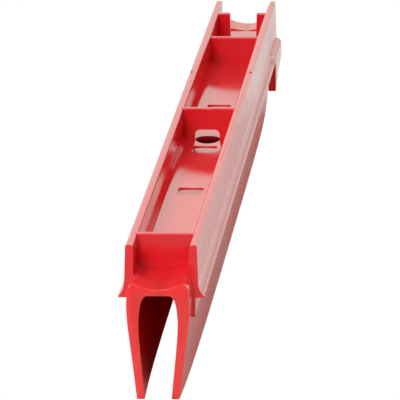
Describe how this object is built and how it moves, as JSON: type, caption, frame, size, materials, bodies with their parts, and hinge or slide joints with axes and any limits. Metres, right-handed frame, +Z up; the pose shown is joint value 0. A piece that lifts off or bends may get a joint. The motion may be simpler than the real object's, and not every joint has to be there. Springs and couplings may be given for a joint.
{
  "type": "double-blade squeegee refill cassette",
  "caption": "Long open plastic channel with cross walls, a latch gate and a finger tab, carrying two soft tapering rubber blades underneath.",
  "frame": {"origin": "middle of the footprint, on the floor at the level of the blade tips, with the object standing on its blades", "axes": "+X along the cassette towards the latch gate and finger tab, +Y towards the rear side, away from the finger tab, +Z up from the blade tips to the open channel"},
  "size_m": [0.505, 0.025, 0.0424],
  "materials": {
    "stiff_plastic": "smooth glossy injection-moulded polypropylene, signal red",
    "soft_rubber": "smooth satin thermoplastic rubber, slightly more orange red"
  },
  "bodies": {
    "carrier": {"front_wall": "stiff_plastic", "rear_wall": "stiff_plastic", "closed_end_floor": "stiff_plastic", "drain_floor": "stiff_plastic", "gate_end_floor": "stiff_plastic", "end_bulkhead": "stiff_plastic", "centre_bulkhead": "stiff_plastic", "far_bulkhead": "stiff_plastic", "front_gate_post": "stiff_plastic", "rear_gate_post": "stiff_plastic", "front_fin": "stiff_plastic", "rear_fin": "stiff_plastic", "front_skirt": "stiff_plastic", "rear_skirt": "stiff_plastic", "finger_tab": "stiff_plastic", "front_corner_fillet": "stiff_plastic", "rear_corner_fillet": "stiff_plastic", "closed_end_web": "soft_rubber", "drain_web": "soft_rubber", "gate_end_web": "soft_rubber", "front_blade_root": "soft_rubber", "rear_blade_root": "soft_rubber", "closed_end_saddle": "soft_rubber", "gate_end_saddle": "soft_rubber", "bond_plugs": "soft_rubber"},
    "front_lip": {"front_blade": "soft_rubber"},
    "rear_lip": {"rear_blade": "soft_rubber"}
  },
  "joints": [
    {"name": "front_blade_flex", "type": "hinge", "parent": "carrier", "child": "front_lip", "pos_m": [0, -0.0072, 0.0192], "axis": [1, 0, 0], "range_deg": [-25, 10], "stiffness_Nm_per_rad": 0.65},
    {"name": "rear_blade_flex", "type": "hinge", "parent": "carrier", "child": "rear_lip", "pos_m": [0, 0.0072, 0.0192], "axis": [1, 0, 0], "range_deg": [-10, 25], "stiffness_Nm_per_rad": 0.65}
  ]
}
